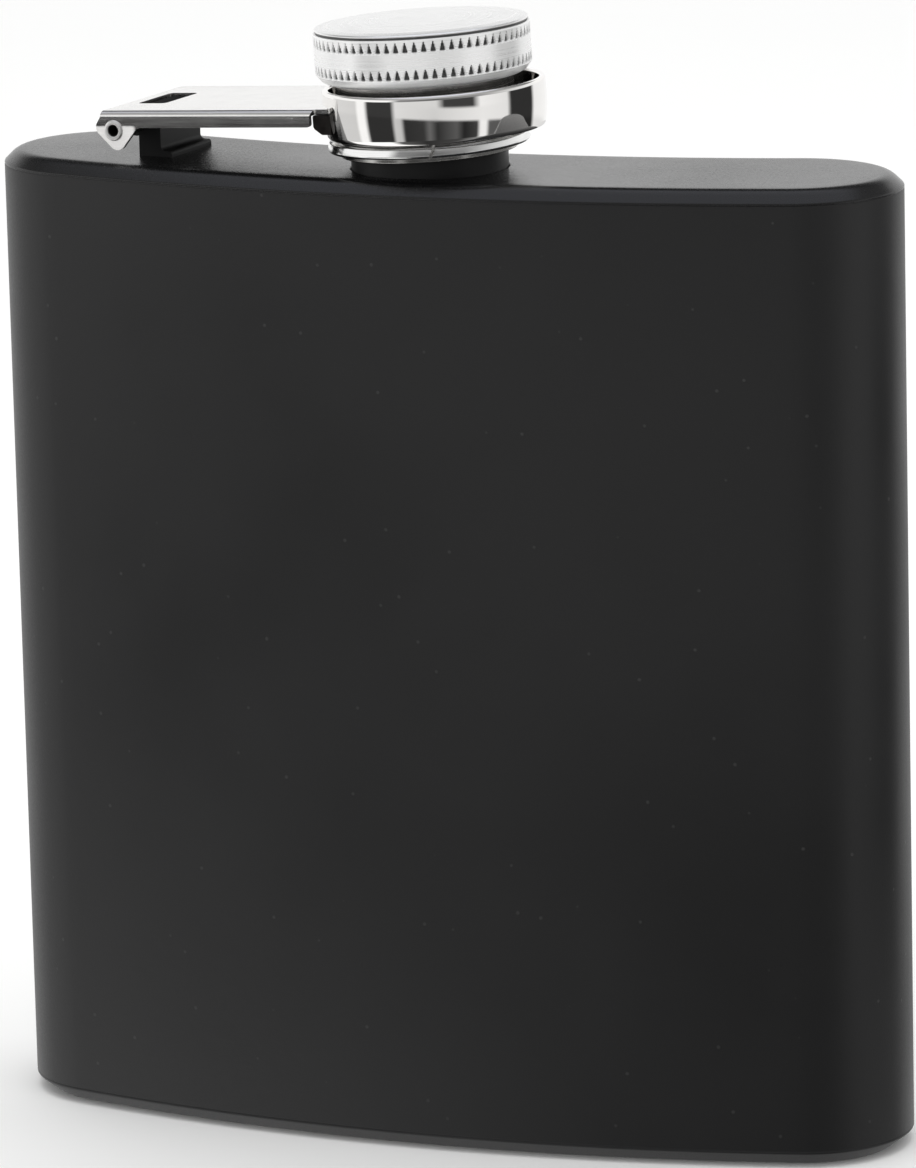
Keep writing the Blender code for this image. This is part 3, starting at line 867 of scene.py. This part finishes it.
def studio_world():
    """A white surround, except for glossy rays, which see light and dark panels instead.

    The panels are fixed in the world. Each band of height, from the floor up, has its own
    brightness by compass direction.
    """
    world = bpy.data.worlds.new("studio")
    bpy.context.scene.world = world
    world.use_nodes = True
    room = Nodes(world.node_tree)
    room.tree.nodes.clear()

    place = room.node("ShaderNodeTexCoord").outputs["Generated"]
    turn = room.node("ShaderNodeMapping", Vector=place, Rotation=(0.0, 0.0, -CAMERA_TURN))
    split = room.node("ShaderNodeSeparateXYZ", Vector=turn.outputs["Vector"])
    towards = room.math("MULTIPLY", split.outputs["Y"], -1.0)
    angle = room.math("ARCTAN2", split.outputs["X"], towards)
    azimuth = room.math("ADD", room.math("DIVIDE", angle, 2.0 * math.pi), 0.5)
    height = split.outputs["Z"]

    def panels(*stops):
        """Brightness all round, from (degrees from the camera's side, brightness)."""
        return room.ramp(azimuth, [(0.5 + degrees / 360.0, grey) for degrees, grey in stops])

    foot = panels((-180, 0.35), (-125, 0.65), (-110, 1.05), (-52, 1.15), (-40, 0.10), (-10, 0.03),
                  (30, 0.06), (60, 0.35), (100, 0.70), (150, 0.45), (180, 0.35))
    low = panels((-180, 0.70), (-128, 0.95), (-121, 0.66), (-90, 0.64), (-86, 1.00), (-78, 1.00),
                 (-73, 0.03), (-46, 0.03), (-42, 0.60), (-36, 0.55), (-32, 0.03), (-12, 0.04),
                 (-6, 0.14), (2, 0.03), (22, 0.10), (30, 0.02), (44, 0.05), (48, 0.90), (54, 0.90),
                 (58, 0.10), (80, 0.10), (84, 0.02), (118, 0.02), (124, 0.80), (180, 0.70))
    left = [(-180, 1.00), (-128, 1.00), (-121, 0.72), (-90, 0.68), (-86, 1.00), (-78, 1.00),
            (-73, 0.04), (-46, 0.04), (-41, 0.75)]
    right = [(80, 0.80), (85, 0.03), (118, 0.03), (124, 0.90), (180, 1.00)]
    mid = panels(*left, (0, 0.66), (50, 0.85), *right)
    blot = panels(*left, (2, 0.70), (10, 0.05), (40, 0.05), (48, 0.90), *right)
    upper = panels((-180, 1.00), (-110, 1.00), (-50, 1.00), (-38, 0.25), (0, 0.12), (40, 0.25),
                   (75, 0.60), (105, 0.80), (135, 1.00), (180, 1.00))
    high = panels((-180, 0.03), (-150, 0.03), (-110, 0.25), (-60, 0.40), (0, 0.45), (60, 0.40),
                  (110, 0.30), (150, 0.10), (180, 0.03))
    zenith = (0.74, 0.76, 0.84)

    colour = foot
    for start, end, band in ((-0.47, -0.41, low), (-0.215, -0.185, mid), (-0.100, -0.065, blot),
                             (0.03, 0.08, upper), (0.36, 0.52, high), (0.78, 0.86, zenith)):
        colour = room.blend(room.remap(height, start, end), colour, band)

    plain = (1.0, 1.0, 1.0)
    glossy = room.node("ShaderNodeLightPath").outputs["Is Glossy Ray"]
    shade = room.node("ShaderNodeBackground", Color=room.blend(glossy, plain, colour))
    room.node("ShaderNodeOutputWorld", Surface=shade.outputs["Background"])


def studio_camera():
    """The camera, from its turn round the flask, its drop and its roll."""
    view = Vector((-math.sin(CAMERA_TURN) * math.cos(CAMERA_DROP),
                   math.cos(CAMERA_TURN) * math.cos(CAMERA_DROP), -math.sin(CAMERA_DROP)))
    level = Vector((math.cos(CAMERA_TURN), math.sin(CAMERA_TURN), 0.0))
    upright = level.cross(view)
    right = level * math.cos(CAMERA_ROLL) + upright * math.sin(CAMERA_ROLL)
    above = upright * math.cos(CAMERA_ROLL) - level * math.sin(CAMERA_ROLL)
    place = CAMERA_TARGET + right * CAMERA_SIDE + above * CAMERA_RISE - view * CAMERA_DISTANCE

    data = bpy.data.cameras.new("camera")
    data.sensor_width = 36.0
    data.lens = FOCAL_SHARE * data.sensor_width
    data.clip_start = 0.01
    data.clip_end = 50.0
    camera = bpy.data.objects.new("camera", data)
    bpy.context.scene.collection.objects.link(camera)
    turn = Matrix((right, above, -view)).transposed().to_4x4()
    camera.matrix_world = Matrix.Translation(place) @ turn
    bpy.context.scene.camera = camera


# ==================================================================== build
def build_flask():
    satin_black = black_coating("satin_black", (0.0070, 0.0070, 0.0072), 0.42, 0.10, 0.25)
    deck_black = black_coating("deck_black", (0.0040, 0.0040, 0.0042), 0.26, 0.08, 0.10)
    bracket_black = black_coating("bracket_black", (0.0040, 0.0040, 0.0042), 0.45, 0.10, 0.15, 0.30)
    tab_black = black_coating("tab_black", (0.0040, 0.0040, 0.0042), 0.70, 0.10, 0.15, 0.04)
    brushed = steel("brushed_steel", (0.91, 0.90, 0.885), 0.20, 0.05,
                    lambda look: look.stretched(120.0, 9000.0, 9000.0), 0.04, 0.20, 0.06, channel_shade,
                    ear_front, (0.32, 0.3))
    plated = steel("satin_plate", (0.97, 0.97, 0.965), 0.30, 0.06,
                   lambda look: look.around_axis(7000.0, 7000.0), 0.03, 0.12, 0.06, notch_shade,
                   cap_side, (0.0, 0.45))
    mirror = steel("mirror_steel", (0.95, 0.935, 0.915), 0.030, 0.006,
                   lambda look: look.around_axis(900.0, 900.0), 0.02, 0.01, 0.02)
    satin_steel = steel("satin_steel", (0.92, 0.92, 0.91), 0.12, 0.03,
                        lambda look: look.around_axis(5000.0, 5000.0), 0.04, 0.10, 0.06)
    rivet_steel = steel("rivet_steel", (0.95, 0.945, 0.93), 0.42, 0.04,
                        lambda look: look.around_axis(5000.0, 5000.0), 0.04, 0.10, 0.06, bore_shade)
    # Near-black steel for the gussets at the arm's end: painted shade by the collar.
    gusset_shade = steel("painted_shade_steel", (0.035, 0.032, 0.030), 0.45, 0.08,
                     lambda look: look.stretched(900.0, 900.0, 900.0), 0.05, 0.30, 0.30)
    # Steel darker than the rest for the cap's stem: painted shade for where it shows in the gap under the
    # cap.
    shaded_stem_steel = steel("shaded_stem_steel", (0.60, 0.59, 0.57), 0.24, 0.05,
                       lambda look: look.around_axis(5000.0, 5000.0), 0.04, 0.15)

    body_wrap(satin_black)
    top_plate(deck_black)
    bottom_plate(satin_black)
    rim_weld("top_rim_weld", satin_black, BODY_HEIGHT - rim_height(TOP_RIM) - 0.245)
    rim_weld("base_rim_weld", satin_black, rim_height(BOTTOM_RIM) + 0.245)
    neck_spout(bracket_black)
    hinge_bracket(bracket_black)
    hinge_tab(tab_black)
    hinge_rivet(rivet_steel)
    lid_arm(brushed)
    collar_ring(mirror)
    arm_weld(brushed)
    arm_gusset("arm_gusset_front", gusset_shade, -1.0)
    arm_gusset("arm_gusset_back", gusset_shade, 1.0)
    cap_shell(plated)
    cap_core(shaded_stem_steel)
    seal_disc(silicone_look())
    retaining_ring(satin_steel)


def build_studio():
    studio_floor(floor_look())
    studio_world()
    studio_light("overhead", (0.0, -0.05, 0.9), (0.0, 0.0, 0.05), (0.7, 0.7), 1.3)
    studio_camera()
    bpy.context.scene.view_settings.view_transform = "Standard"


build_flask()
build_studio()
